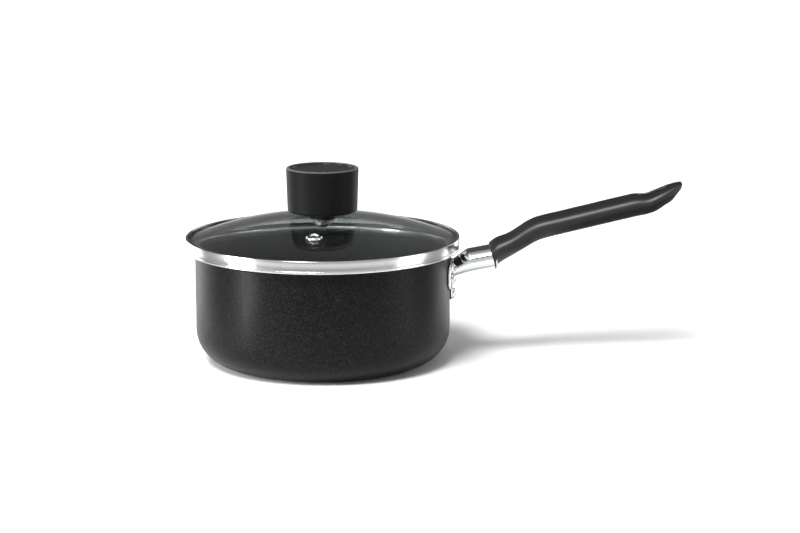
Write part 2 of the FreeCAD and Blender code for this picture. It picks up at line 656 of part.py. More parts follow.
# ---------------------------------------------------------------------------------------------
# Lid: domed glass in a gasket and a folded steel band
# ---------------------------------------------------------------------------------------------
def dome_arcs(sketch, edge, top_height, low_height):
    """The glass's profile: two equal arcs about the lid's axis, joined by a flat rim."""
    rise, chord, radius = value("dome_rise"), value(edge), value(DOME_RADIUS)
    normal = FreeCAD.Vector(0, 0, 1)
    span = math.asin(chord / radius)
    arcs = []
    for height in (top_height, low_height):
        centre = FreeCAD.Vector(0, value(height) + rise - radius, 0)
        arc = Part.ArcOfCircle(Part.Circle(centre, normal, radius), math.pi / 2 - span, math.pi / 2)
        arcs.append(sketch.addGeometry(arc, False))
    rim = value(GLASS_RADIUS)
    corners = [(chord, value(top_height)), (rim, value(top_height)), (rim, value(low_height)),
               (chord, value(low_height))]
    points = [FreeCAD.Vector(x, y, 0) for x, y in corners]
    lines = [sketch.addGeometry(Part.LineSegment(start, end), False)
             for start, end in zip(points, points[1:])]
    axis_line = Part.LineSegment(FreeCAD.Vector(0, value(low_height) + rise, 0),
                                 FreeCAD.Vector(0, value(top_height) + rise, 0))
    lines.append(sketch.addGeometry(axis_line, False))
    joints = [(arcs[0], 1, lines[0], 1), (lines[0], 2, lines[1], 1), (lines[1], 2, lines[2], 1),
              (lines[2], 2, arcs[1], 1), (arcs[1], 2, lines[3], 1), (lines[3], 2, arcs[0], 2)]
    for joint in joints:
        sketch.addConstraint(Sketcher.Constraint("Coincident", *joint))
    for arc in arcs:
        sketch.addConstraint(Sketcher.Constraint("PointOnObject", arc, 3, -2))
        sketch.addConstraint(Sketcher.Constraint("PointOnObject", arc, 2, -2))
        drive(sketch, "Radius", (arc,), DOME_RADIUS)
    for line, x, y in ((lines[0], edge, top_height), (lines[1], GLASS_RADIUS, top_height),
                       (lines[2], GLASS_RADIUS, low_height)):
        place_point(sketch, line, 1, x, y)
    place_point(sketch, arcs[1], 1, edge, low_height)


VENT_TILT = f"(asin(vent_out / {DOME_RADIUS}) / 1 deg)"
VENT_PLACE = {
    "x": "vent_out * cos(vent_bearing * 1 deg)",
    "y": "vent_out * sin(vent_bearing * 1 deg)",
    "z": f"{APEX} - {DOME_RADIUS} * (1 - cos({VENT_TILT} * 1 deg))",
}


def vent_axis():
    """The level axis about which the vent leans outwards with the dome."""
    bearing = math.radians(value("vent_bearing"))
    return (-math.sin(bearing), math.cos(bearing), 0)


def make_glass():
    glass = new_body("lid_glass")
    profile = new_sketch(glass, "profile")
    dome_arcs(profile, DOME_EDGE, GLASS_TOP, GLASS_BASE)
    revolve(glass, profile)
    centre = new_sketch(glass, "centre_hole", "XY_Plane", ("0", "0", APEX))
    circle(centre, "glass_hole")
    cut(glass, centre, "4 * glass_thickness", both_ways=True)
    vent = new_sketch(glass, "vent_hole", "XY_Plane", (VENT_PLACE["x"], VENT_PLACE["y"], VENT_PLACE["z"]),
                      axis=vent_axis(), turn=VENT_TILT)
    circle(vent, "vent_hole")
    cut(glass, vent, "4 * glass_thickness", both_ways=True)


def make_band():
    """Steel band, folded in one piece: skirt, ledge, outer wall and an edge turned over the glass."""
    inside = f"({BAND_RADIUS} - band_sheet)"
    turned_body("lid_band", [
        (f"{SKIRT_RADIUS} - band_sheet", f"{BAND_BASE} - skirt_depth"),
        (SKIRT_RADIUS, f"{BAND_BASE} - skirt_depth"),
        (SKIRT_RADIUS, BAND_BASE, "band_sheet"),
        (BAND_RADIUS, BAND_BASE, "band_bend"),
        (BAND_RADIUS, BAND_TOP, "band_bend"),
        (f"{BAND_RADIUS} - band_curl", BAND_TOP),
        (f"{BAND_RADIUS} - band_curl", f"{BAND_TOP} - band_sheet"),
        (inside, f"{BAND_TOP} - band_sheet", "band_bend - band_sheet"),
        (inside, GASKET_BASE, "band_bend - band_sheet"),
        (f"{SKIRT_RADIUS} - band_sheet", GASKET_BASE, "2 * band_sheet"),
    ])


def make_gasket():
    """Silicone channel that holds the glass's edge inside the band."""
    turned_body("lid_gasket", [
        (f"{GLASS_RADIUS} - gasket_tuck", f"{GASKET_BASE} + nest_gap / 2"),
        (GASKET_RADIUS, f"{GASKET_BASE} + nest_gap / 2", "band_bend - band_sheet"),
        (GASKET_RADIUS, f"{GLASS_TOP} + nest_gap + gasket_lip", "band_bend - band_sheet"),
        (f"{BAND_RADIUS} - band_curl - gasket_show", f"{GLASS_TOP} + nest_gap + gasket_lip"),
        (f"{BAND_RADIUS} - band_curl - gasket_show", f"{GLASS_TOP} + nest_gap / 2"),
        (f"{GLASS_RADIUS} + nest_gap / 2", f"{GLASS_TOP} + nest_gap / 2"),
        (f"{GLASS_RADIUS} + nest_gap / 2", f"{GLASS_BASE} - nest_gap / 2"),
        (f"{GLASS_RADIUS} - gasket_tuck", f"{GLASS_BASE} - nest_gap / 2"),
    ])


def make_vent():
    """Steel eyelet in a silicone grommet, square to the dome; their own zero is the glass's top."""
    where = dict(VENT_PLACE, axis=vent_axis(), turn=VENT_TILT)
    under = "(0 - glass_thickness)"
    sleeve = "(eyelet_barrel + nest_gap)"
    turned_body("vent_grommet", [
        (sleeve, "grommet_sheet"),
        (sleeve, f"{under} - grommet_sheet"),
        ("eyelet_flange", f"{under} - grommet_sheet"),
        ("eyelet_flange", f"{under} - nest_gap"),
        ("vent_hole - nest_gap", f"{under} - nest_gap"),
        ("vent_hole - nest_gap", "nest_gap"),
        ("grommet_flange", "nest_gap"),
        ("grommet_flange", "grommet_sheet", "grommet_sheet / 2"),
    ], **where)
    flange_base = "(grommet_sheet + nest_gap)"
    flange_top = f"({flange_base} + eyelet_rim)"
    roll_top = f"({under} - grommet_sheet - nest_gap)"
    roll_base = f"({roll_top} - eyelet_rim)"
    turned_body("vent_eyelet", [
        ("vent_bore", roll_base, "eyelet_barrel - vent_bore"),
        ("eyelet_roll", roll_base, "eyelet_rim / 2"),
        ("eyelet_roll", roll_top),
        ("eyelet_barrel", roll_top),
        ("eyelet_barrel", flange_base),
        ("eyelet_flange", flange_base),
        ("eyelet_flange", flange_top, "0.93 * eyelet_rim"),
        ("vent_bore", flange_top, "0.93 * eyelet_rim"),
    ], **where)


# ---------------------------------------------------------------------------------------------
# Knob: moulded body with an inset cap, on a brass insert and one screw through the glass
# ---------------------------------------------------------------------------------------------
def make_knob():
    bore = "(insert_radius + nest_gap)"
    roof = f"({KNOB_TOP} - cap_recess - knob_roof)"
    recess = "(knob_top_radius - knob_rim)"
    turned_body("knob_body", [
        ("0", f"{BOSS_BASE} + insert_length + nest_gap"),
        (bore, f"{BOSS_BASE} + insert_length + nest_gap"),
        (bore, BOSS_BASE),
        ("boss_radius", BOSS_BASE, "nest_gap * 10"),
        ("boss_radius", roof, "knob_wall / 2"),
        ("knob_bottom_radius - knob_wall", roof, "knob_wall / 2"),
        ("knob_bottom_radius - knob_wall", KNOB_BASE, "knob_wall / 4"),
        ("knob_bottom_radius", KNOB_BASE, "knob_wall / 2"),
        ("knob_top_radius", KNOB_TOP, "knob_rim / 2"),
        (recess, KNOB_TOP, "knob_rim / 4"),
        (recess, f"{KNOB_TOP} - cap_recess"),
        ("0", f"{KNOB_TOP} - cap_recess"),
    ])
    cap_radius = f"({recess} - nest_gap)"
    cap_base = f"({KNOB_TOP} - cap_recess + nest_gap)"
    turned_body("knob_cap", [
        ("0", cap_base),
        (cap_radius, cap_base),
        (cap_radius, f"{cap_base} + cap_thickness", "cap_thickness / 4"),
        (f"{cap_radius} - cap_bead", f"{cap_base} + cap_thickness", "cap_thickness / 4"),
        (f"{cap_radius} - cap_bead", f"{cap_base} + 2 * cap_thickness / 3"),
        ("0", f"{cap_base} + 2 * cap_thickness / 3"),
    ])
    thread = "(knob_screw_radius + nest_gap)"
    turned_body("knob_insert", [
        (thread, BOSS_BASE),
        ("insert_radius", BOSS_BASE, "nest_gap * 6"),
        ("insert_radius", f"{BOSS_BASE} + insert_length / 2 - cap_thickness / 2"),
        ("insert_radius - nest_gap * 10", f"{BOSS_BASE} + insert_length / 2"),
        ("insert_radius", f"{BOSS_BASE} + insert_length / 2 + cap_thickness / 2"),
        ("insert_radius", f"{BOSS_BASE} + insert_length", "nest_gap * 6"),
        (thread, f"{BOSS_BASE} + insert_length"),
    ])


def make_knob_fixing():
    """From the knob down: silicone washer, glass, silicone washer, steel washer and screw head."""
    clear = "(knob_screw_radius + 2 * nest_gap)"
    under_glass = f"({APEX} - glass_thickness - nest_gap)"
    washer_top = f"({under_glass} - pad_thickness - nest_gap)"
    head_top = f"({washer_top} - washer_thickness - nest_gap)"
    head_base = f"({head_top} - knob_screw_head_height)"
    turned_body("knob_pad_upper", [
        (clear, f"{APEX} + nest_gap / 2"), ("pad_radius", f"{APEX} + nest_gap / 2"),
        ("pad_radius", f"{BOSS_BASE} - nest_gap / 2"), (clear, f"{BOSS_BASE} - nest_gap / 2")])
    dome_sag = f"(pad_radius ^ 2 / (2 * ({DOME_RADIUS} - glass_thickness)))"
    turned_body("knob_pad_lower", [
        (clear, f"{under_glass} - pad_thickness"), ("pad_radius", f"{under_glass} - pad_thickness"),
        ("pad_radius", f"{under_glass} - {dome_sag} - nest_gap"), (clear, under_glass)])
    turned_body("knob_washer", [
        (clear, f"{washer_top} - washer_thickness"),
        ("washer_radius", f"{washer_top} - washer_thickness", "washer_thickness / 3"),
        ("washer_radius", washer_top),
        (clear, washer_top)])
    screw = turned_body("knob_screw", [
        ("0", head_base),
        ("knob_screw_head", head_base, "knob_screw_head_height / 2"),
        ("knob_screw_head", head_top),
        ("knob_screw_radius", head_top),
        ("knob_screw_radius", f"{BOSS_BASE} + knob_screw_grip", "knob_screw_radius / 3"),
        ("0", f"{BOSS_BASE} + knob_screw_grip"),
    ])
    cross_recess(screw, head_base, -1)


make_pan()
make_bracket()
make_rivets()
make_grip()
make_tang()
make_handle_screw()
make_glass()
make_band()
make_gasket()
make_vent()
make_knob()
make_knob_fixing()

# ---------------------------------------------------------------------------------------------
# Check every object, then write one STEP file for each piece
# ---------------------------------------------------------------------------------------------
doc.recompute()
for item in doc.Objects:
    if {"Invalid", "Error"} & set(item.State):
        raise ValueError(f"{item.Name} did not compute: {item.State}")

os.makedirs("parts", exist_ok=True)
for body in doc.findObjects("PartDesign::Body"):
    shape = body.Shape
    if shape.isNull() or not shape.isValid() or len(shape.Solids) != 1:
        raise ValueError(f"{body.Label} is not one valid solid")
    shape.exportStep(f"parts/{body.Label}.step")
    box = shape.BoundBox
    print(f"{body.Label:22s} volume {shape.Volume:10.1f}  x {box.XMin:7.2f} {box.XMax:7.2f}"
          f"  y {box.YMin:7.2f} {box.YMax:7.2f}  z {box.ZMin:7.2f} {box.ZMax:7.2f}")
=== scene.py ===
# %% [markdown]
# # A small saucepan with a glass lid
# A coated 16 cm saucepan stands on a white table. Its long handle is moulded phenolic on a chromed
# bracket, and its domed glass lid has a steel rim, a steam vent and a round knob. The shapes come from
# a finished engineering model, the frame. This lesson gives each piece the finish that its real
# material has, models four of them again where the frame's mesh is too coarse or too sharp for a shiny
# finish, and lights them like a product picture.

# %% Load the frame
import math

import bpy
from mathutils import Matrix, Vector


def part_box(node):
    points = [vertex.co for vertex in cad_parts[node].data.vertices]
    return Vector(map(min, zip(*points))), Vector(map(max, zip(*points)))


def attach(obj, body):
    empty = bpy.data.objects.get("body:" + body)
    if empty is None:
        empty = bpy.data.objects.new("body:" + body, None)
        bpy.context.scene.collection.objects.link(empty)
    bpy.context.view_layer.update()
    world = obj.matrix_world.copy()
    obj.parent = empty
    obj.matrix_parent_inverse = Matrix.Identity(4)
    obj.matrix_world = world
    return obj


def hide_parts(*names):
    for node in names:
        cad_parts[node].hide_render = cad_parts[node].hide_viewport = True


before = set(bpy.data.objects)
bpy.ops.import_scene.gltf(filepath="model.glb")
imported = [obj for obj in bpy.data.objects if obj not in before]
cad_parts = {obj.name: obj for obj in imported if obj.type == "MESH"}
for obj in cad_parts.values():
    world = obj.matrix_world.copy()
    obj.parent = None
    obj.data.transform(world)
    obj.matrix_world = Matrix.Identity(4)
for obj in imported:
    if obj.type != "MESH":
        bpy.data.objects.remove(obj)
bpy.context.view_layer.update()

# %% [markdown]
# ## Reading places from the frame
# Places are worked out from the boxes of the frame's nodes where they can be. A box does not tell the
# thickness of a sheet or the radius of a bend, so those are numbers here, and a change to them in the
# engineering model has to be made here too. The pan's axis is the Z axis, and the handle points along +X.

# %% Measure the pieces
MM = 0.001


def corners(node):
    """Lowest and highest corner of a node, in metres."""
    low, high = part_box(node)
    return tuple(low), tuple(high)


pan_high = corners("pan_body")[1]
lip_top = pan_high[2]
lip_radius = pan_high[1]
band_low, band_high = corners("lid_band")
knob_top = corners("knob_body")[1][2]
print(f"lip radius {lip_radius / MM:.1f} mm, lip top {lip_top / MM:.1f} mm,",
      f"knob top {knob_top / MM:.1f} mm")

# %% [markdown]
# ## Small helpers for materials
# Colours are written as the sRGB hex values that a paint chart gives, and one function turns them into
# the linear numbers that the shader works with. One adds a node, sets it up and links it. The others
# make a new material with its shader ready, link a node to the shader, and put a material on pieces.

# %% Material helpers
def paint(hex_colour):
    """A linear RGBA colour from an sRGB hex value such as '#1c1c1e'."""
    channels = [int(hex_colour[i:i + 2], 16) / 255 for i in (1, 3, 5)]
    linear = [c / 12.92 if c <= 0.04045 else ((c + 0.055) / 1.055) ** 2.4 for c in channels]
    return (*linear, 1.0)


def add_node(material, kind, settings=(), sockets=()):
    """Adds a node, sets its properties, and fills its sockets with numbers or other nodes' outputs."""
    node = material.node_tree.nodes.new("ShaderNode" + kind)
    for name, setting in dict(settings).items():
        setattr(node, name, setting)
    for name, filling in dict(sockets).items():
        if isinstance(filling, bpy.types.NodeSocket):
            material.node_tree.links.new(filling, node.inputs[name])
        else:
            node.inputs[name].default_value = filling
    return node


def new_finish(name, sockets):
    """A new material whose shader has these fixed socket values."""
    material = bpy.data.materials.new(name)
    material.use_nodes = True
    shader = material.node_tree.nodes["Principled BSDF"]
    for socket, number in sockets.items():
        shader.inputs[socket].default_value = number
    return material, shader


def feed(material, shader, socket, output):
    """Links another node's output to one of the shader's sockets."""
    material.node_tree.links.new(output, shader.inputs[socket])


def dress(material, *names):
    """Gives frame nodes or new pieces their finish."""
    for name in names:
        bpy.data.objects[name].material_slots[0].material = material
    print(material.name, "on", ", ".join(names))


# %% [markdown]
# ## The pan's coat
# The pan is pressed from aluminium sheet and sprayed with a charcoal non-stick coat that has fine
# aluminium flake in it. The flakes lie at all angles, so a few of them catch the light at a time. A
# cell pattern gives each flake its own brightness. The coat is soft and slightly uneven, like fine
# orange peel, so a low bump spreads its highlights. The lip was polished bare after spraying, and the
# base was turned bare on a lathe, which leaves fine rings. Both are picked out by height and radius.

# %% Sprayed non-stick coat, bare at the lip and the base
coat, coat_shader = new_finish("sprayed_nonstick_coat_on_aluminium", {"Specular IOR Level": 0.12})
place = add_node(coat, "TexCoord").outputs["Object"]
FLAKE = 0.36 * MM      # real flakes are about 0.05 mm, drawn coarser so that they show
flakes = add_node(coat, "TexVoronoi", {"feature": "F1"}, {"Vector": place, "Scale": 1 / FLAKE})
flake_light = add_node(coat, "SeparateColor", (), {"Color": flakes.outputs["Color"]}).outputs["Red"]
coat_tone = add_node(coat, "ValToRGB", (), {"Fac": flake_light})
ramp = coat_tone.color_ramp
ramp.elements[0].position, ramp.elements[0].color = 0.0, paint("#070708")
ramp.elements[1].position, ramp.elements[1].color = 1.0, paint("#2b2b2d")
middle = ramp.elements.new(0.7)
middle.color = paint("#0c0c0d")

CLOUD = 9 * MM         # slow changes of thickness where spray passes overlap
clouds = add_node(coat, "TexNoise", (), {"Vector": place, "Scale": 1 / CLOUD, "Detail": 3.0})
coat_rough = add_node(coat, "MapRange", (), {"Value": clouds.outputs["Fac"],
                                             "To Min": 0.34, "To Max": 0.44})

spot = add_node(coat, "SeparateXYZ", (), {"Vector": place})
across = add_node(coat, "Math", {"operation": "MULTIPLY"}, {0: spot.outputs["X"], 1: spot.outputs["X"]})
along = add_node(coat, "Math", {"operation": "MULTIPLY_ADD"},
                 {0: spot.outputs["Y"], 1: spot.outputs["Y"], 2: across.outputs[0]})
radius = add_node(coat, "Math", {"operation": "SQRT"}, {0: along.outputs[0]}).outputs[0]
height = spot.outputs["Z"]

BARE_DEEP = 2.2 * MM   # the polished lip reaches this far down from its top
BARE_WIDE = 4.6 * MM   # and this far in from its edge
on_lip = add_node(coat, "Math", {"operation": "GREATER_THAN"},
                  {0: height, 1: lip_top - BARE_DEEP}).outputs[0]
out_wall = add_node(coat, "Math", {"operation": "GREATER_THAN"},
                    {0: radius, 1: lip_radius - BARE_WIDE}).outputs[0]
lip_mask = add_node(coat, "Math", {"operation": "MULTIPLY"}, {0: on_lip, 1: out_wall}).outputs[0]
BASE_FACE = 1.4 * MM   # the turned face and its rings lie below this height
BASE_SHARE = 0.70      # how much of the lip's radius the turned face takes up
on_base = add_node(coat, "Math", {"operation": "LESS_THAN"}, {0: height, 1: BASE_FACE}).outputs[0]
in_base = add_node(coat, "Math", {"operation": "LESS_THAN"},
                   {0: radius, 1: BASE_SHARE * lip_radius}).outputs[0]
base_mask = add_node(coat, "Math", {"operation": "MULTIPLY"}, {0: on_base, 1: in_base}).outputs[0]
bare = add_node(coat, "Math", {"operation": "MAXIMUM"}, {0: lip_mask, 1: base_mask}).outputs[0]

BARE_GLOSS = 0.16      # roughness of the polished metal
RING = 0.7 * MM        # feed of the turning tool, a few times the real 0.2 mm so that it shows
rings = add_node(coat, "Math", {"operation": "SINE"}, {
    0: add_node(coat, "Math", {"operation": "MULTIPLY"}, {0: radius, 1: 2 * math.pi / RING}).outputs[0]})
bare_tone = add_node(coat, "MapRange", (), {"Value": rings.outputs[0], "From Min": -1.0,
                                            "To Min": 0.72, "To Max": 0.86}).outputs["Result"]
bare_metal = add_node(coat, "CombineColor", (), {"Red": bare_tone, "Green": bare_tone, "Blue": bare_tone})
colour = add_node(coat, "Mix", {"data_type": "RGBA"},
                  {0: bare, 6: coat_tone.outputs["Color"], 7: bare_metal.outputs["Color"]})
rough = add_node(coat, "Mix", {"data_type": "FLOAT"},
                 {0: bare, 2: coat_rough.outputs["Result"], 3: BARE_GLOSS})
feed(coat, coat_shader, "Base Color", colour.outputs[2])
feed(coat, coat_shader, "Metallic", bare)
feed(coat, coat_shader, "Roughness", rough.outputs[0])

PEEL = 1.6 * MM        # width of one dimple of the orange peel
PEEL_DEEP = 0.03 * MM
peel = add_node(coat, "TexNoise", (), {"Vector": place, "Scale": 1 / PEEL, "Detail": 2.0})
peel_bump = add_node(coat, "Bump", (), {"Height": peel.outputs["Fac"], "Distance": PEEL_DEEP,
                                        "Strength": 0.4})
feed(coat, coat_shader, "Normal", peel_bump.outputs["Normal"])
print("coat ready:", coat.name)

# %% [markdown]
# ## Chromed and polished metals
# The bracket is steel sheet, pressed, welded and chromed. Chrome is almost a mirror, so what it shows
# is the room: a little unevenness in its gloss, from the polishing mop, keeps it from looking like a
# drawing. The rim and the eyelet are rolled stainless steel, a touch warmer and softer, with faint cloudy
# marks. The rivets are soft aluminium, their heads set by a hammer. The screws and washers are zinc
# plated, which is greyer and duller, and the knob's threaded insert is turned brass. The marks on all of
# them are drawn a few millimetres wide, coarser than real polishing scratches, so that they show.

# %% Chrome, stainless steel and rivet aluminium
def polished_metal(name, hex_colour, gloss, dull, swirl):
    """A polished metal: its colour, its roughness from gloss to dull, and the size of the mop marks."""
    metal, shader = new_finish(name, {"Metallic": 1.0})
    spot_on = add_node(metal, "TexCoord").outputs["Object"]
    marks = add_node(metal, "TexNoise", (), {"Vector": spot_on, "Scale": 1 / swirl, "Detail": 4.0})
    roughness = add_node(metal, "MapRange", (), {"Value": marks.outputs["Fac"],
                                                 "To Min": gloss, "To Max": dull})
    feed(metal, shader, "Roughness", roughness.outputs["Result"])
    tone = add_node(metal, "HueSaturation", (), {"Color": paint(hex_colour)})
    value = add_node(metal, "MapRange", (), {"Value": marks.outputs["Fac"], "To Min": 0.94, "To Max": 1.04})
    metal.node_tree.links.new(value.outputs["Result"], tone.inputs["Value"])
    feed(metal, shader, "Base Color", tone.outputs["Color"])
    return metal


chrome = polished_metal("chromed_steel_polished", "#e4e6e8", 0.05, 0.12, 6 * MM)
rim_steel = polished_metal("stainless_steel_polished", "#dedfdf", 0.17, 0.23, 4 * MM)
dress(rim_steel, "vent_eyelet")
rivet_metal = polished_metal("aluminium_rivet_hammered", "#dcdddd", 0.14, 0.26, 1.5 * MM)
dress(rivet_metal, "rivet_upper_front", "rivet_upper_rear", "rivet_lower")
zinc = polished_metal("zinc_plated_steel", "#b9bcbf", 0.22, 0.36, 2 * MM)
dress(zinc, "handle_tang", "handle_screw", "handle_lock_washer", "knob_washer", "knob_screw")
brass = polished_metal("turned_brass", "#c9a860", 0.2, 0.3, 2 * MM)
dress(brass, "knob_insert")

# %% [markdown]
# ## The lid's rolled band
# The band is a strip of stainless steel, rolled into a hoop and folded over the glass's edge, with a
# skirt that hangs inside the pan's mouth. A mirror finish shows every facet, so the hoop is turned here
# again with many more sides. It could be spun from a drawn section, but a ring that is extruded from
# corner to corner of the section keeps each corner where a number says. A bevel then rounds the folds.

# %% Turning helper
SIDES = 288                          # enough for a mirror finish to show no facets
SAME_PLACE = 0.001 * MM              # corners nearer than this are one corner
SHARP = math.radians(35)             # edges sharper than this stay crisp


def turned(name, section, closed=True):
    """A round piece about the Z axis: one ring, extruded from point to point of its section.

    Each point is a radius and a height. An open section has its two end rings filled.
    """
    bpy.ops.object.select_all(action="DESELECT")
    radius, level = section[0]
    bpy.ops.mesh.primitive_circle_add(vertices=SIDES, radius=radius, location=(0.0, 0.0, level))
    piece = bpy.context.object
    piece.name = name
    bpy.ops.object.transform_apply(location=True)
    bpy.ops.object.mode_set(mode="EDIT")
    bpy.ops.mesh.select_all(action="SELECT")
    following = section[1:] + (section[:1] if closed else [])
    for (r_from, z_from), (r_to, z_to) in zip(section, following):
        bpy.ops.mesh.extrude_edges_move(TRANSFORM_OT_translate={"value": (0.0, 0.0, z_to - z_from)})
        bpy.ops.transform.resize(value=(r_to / r_from, r_to / r_from, 1.0),
                                 center_override=(0.0, 0.0, 0.0))
    bpy.ops.mesh.select_all(action="SELECT")
    bpy.ops.mesh.remove_doubles(threshold=SAME_PLACE)
    if not closed:
        bpy.ops.mesh.fill_holes(sides=0)
    bpy.ops.mesh.normals_make_consistent(inside=False)
    bpy.ops.object.mode_set(mode="OBJECT")
    return piece


def stand_for(piece, node, body, material):
    """Puts a finished piece in the place of a frame node."""
    bpy.ops.object.shade_smooth_by_angle(angle=SHARP)
    piece.data.materials.append(material)
    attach(piece, body)
    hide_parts(node)
    print(piece.name, "has", len(piece.data.polygons), "faces")


print("turned pieces get", SIDES, "sides")

# %% [markdown]
# ## Turning the band
# The section starts at the foot of the skirt and goes round the outside, over the glass's edge and back
# down the inside. The folds could be drawn as arcs, but a bevel on the sharp corners does it in one step.

# %% Turn the band
STRIP = 0.5 * MM                     # thickness of the steel strip
SKIRT_DEPTH = 4.5 * MM               # how far the skirt hangs below the ledge
CURL = 1.7 * MM                      # how far the top edge turns in over the glass
SKIRT_IN = 9.0 * MM                  # from the band's outside in to the skirt's outside
FOLD = 0.45 * MM                     # rounding of the folds
band_out, band_top, skirt_end = band_high[1], band_high[2], band_low[2]
ledge = skirt_end + SKIRT_DEPTH
skirt_out = band_out - SKIRT_IN
band = turned("rolled_band", [
    (skirt_out - STRIP, skirt_end), (skirt_out, skirt_end), (skirt_out, ledge), (band_out, ledge),
    (band_out, band_top), (band_out - CURL, band_top), (band_out - CURL, band_top - STRIP),
    (band_out - STRIP, band_top - STRIP), (band_out - STRIP, ledge + STRIP),
    (skirt_out - STRIP, ledge + STRIP)])
folds = band.modifiers.new("folds", "BEVEL")
folds.width, folds.segments = FOLD, 3
folds.angle_limit = math.radians(40)
bpy.ops.object.modifier_apply(modifier="folds")
stand_for(band, "lid_band", "lid", rim_steel)

# %% [markdown]
# ## The pressed pan
# The pan is drawn from one disc of aluminium: a thick base, a generous corner, a straight wall, and a
# lip that turns out to carry the lid. It is turned in the same way as the band, with its section first
# bent round each corner at the radius of the press tool, so that the bare lip reflects as one clean line.

# %% Turn the pan
def bent(corners, steps):
    """Rounds each corner of a section, given as radius, height and bend, into a run of short steps."""
    points = []
    for index, (radius, level, bend) in enumerate(corners):
        corner = Vector((radius, level))
        if not bend:
            points.append(tuple(corner))
            continue
        back = (Vector(corners[index - 1][:2]) - corner).normalized()
        on = (Vector(corners[index + 1][:2]) - corner).normalized()
        half = back.angle(on) / 2
        centre = corner + (back + on).normalized() * bend / math.sin(half)
        first = corner + back * bend / math.tan(half) - centre
        last = corner + on * bend / math.tan(half) - centre
        for step in range(steps + 1):
            outwards = first.slerp(last, step / steps).normalized()
            points.append(tuple(centre + outwards * bend))
    return points


WALL, FLOOR = 2.0 * MM, 2.6 * MM     # thickness of the wall and of the base
LIP_SHEET = 1.9 * MM                 # thickness of the lip
LIP_REACH = 5.8 * MM                 # how far the lip stands out from the wall
CORNER = 22 * MM                     # outside radius of the corner between base and wall
LIP_BEND, LIP_EDGE = 2.5 * MM, 0.8 * MM
CENTRE = 1 * MM                      # the middle is closed by a small flat face of this radius
RINGS, RING_STEP = 5, 9.0 * MM       # shallow grooves turned in the underside
RING_WIDE, RING_DEEP = 1.6 * MM, 0.4 * MM
BEND_STEPS = 9
wall_out = lip_radius - LIP_REACH
base = [(CENTRE, 0.0, 0)]
for number in range(1, RINGS + 1):
    start = number * RING_STEP
    base += [(start, 0.0, 0), (start + RING_DEEP, RING_DEEP, 0),
             (start + RING_WIDE - RING_DEEP, RING_DEEP, 0), (start + RING_WIDE, 0.0, 0)]
shell = turned("pressed_pan", bent(base + [
    (wall_out, 0.0, CORNER), (wall_out, lip_top - LIP_SHEET, LIP_BEND),
    (lip_radius, lip_top - LIP_SHEET, LIP_EDGE), (lip_radius, lip_top, LIP_EDGE),
    (wall_out - WALL, lip_top, LIP_BEND + LIP_SHEET), (wall_out - WALL, FLOOR, CORNER - WALL),
    (CENTRE, FLOOR, 0)], BEND_STEPS), closed=False)
stand_for(shell, "pan_body", "pan", coat)

# %% [markdown]
# ## The bracket, pressed and polished
# A bracket that is pressed from sheet, welded and polished has no sharp edge: the neck flows into the
# flange and round its own bend. The frame's bracket is right in size but sharp there. Bevelling it would
# need its edges picked by hand. Instead a copy is remeshed into small even squares and then rubbed
# smooth, as a polishing wheel does, which rounds every edge by about the same amount.

# %% Ease the bracket
LOOSE = 0.01 * MM                    # the copy's loose triangles are joined within this distance


def eased(node, name, square, passes):
    """A copy of a frame node, remeshed in even squares and rubbed smooth."""
    bpy.ops.object.select_all(action="DESELECT")
    old = bpy.data.objects[node]
    piece = bpy.data.objects.new(name, old.data.copy())
    bpy.context.collection.objects.link(piece)
    bpy.context.view_layer.objects.active = piece
    piece.select_set(True)
    bpy.ops.mesh.customdata_custom_splitnormals_clear()
    bpy.ops.object.mode_set(mode="EDIT")
    bpy.ops.mesh.select_all(action="SELECT")
    bpy.ops.mesh.remove_doubles(threshold=LOOSE)
    bpy.ops.object.mode_set(mode="OBJECT")
    squares = piece.modifiers.new("squares", "REMESH")
    squares.mode, squares.voxel_size = "VOXEL", square
    bpy.ops.object.modifier_apply(modifier="squares")
    rub = piece.modifiers.new("rub", "SMOOTH")
    rub.factor, rub.iterations = 0.5, passes
    bpy.ops.object.modifier_apply(modifier="rub")
    piece.data.materials.clear()
    return piece


bracket = eased("handle_bracket", "pressed_bracket", 0.35 * MM, 24)
stand_for(bracket, "handle_bracket", "pan", chrome)

# %% [markdown]
# ## Moulded phenolic
# The grip and the knob are phenolic, the hard black resin that stands a hot stove. It comes out of the
# mould satin, with a fine grain from the spark-eroded steel of the mould. A fine noise as a bump gives
# that grain, drawn about five times coarser than real so that it shows, and a slow noise varies the
# gloss where hands have polished it. The knob's top edge is painted a paler grey: a painted highlight
# for the light that the edge catches. The grip is eased like the bracket, because a moulded grip has no
# sharp edge. The knob's cap is the same resin from a polished part of the mould, so it shines a little
# more.

# %% Satin phenolic for grip and knob
HANDLING = 12 * MM                   # size of the patches that hands have polished
EDGE_HIGHLIGHT = 0.55 * MM                # depth of the painted highlight round the knob's top edge
HIGHLIGHT_FADE = 0.2 * MM                 # the painted highlight fades out over this much, up and down
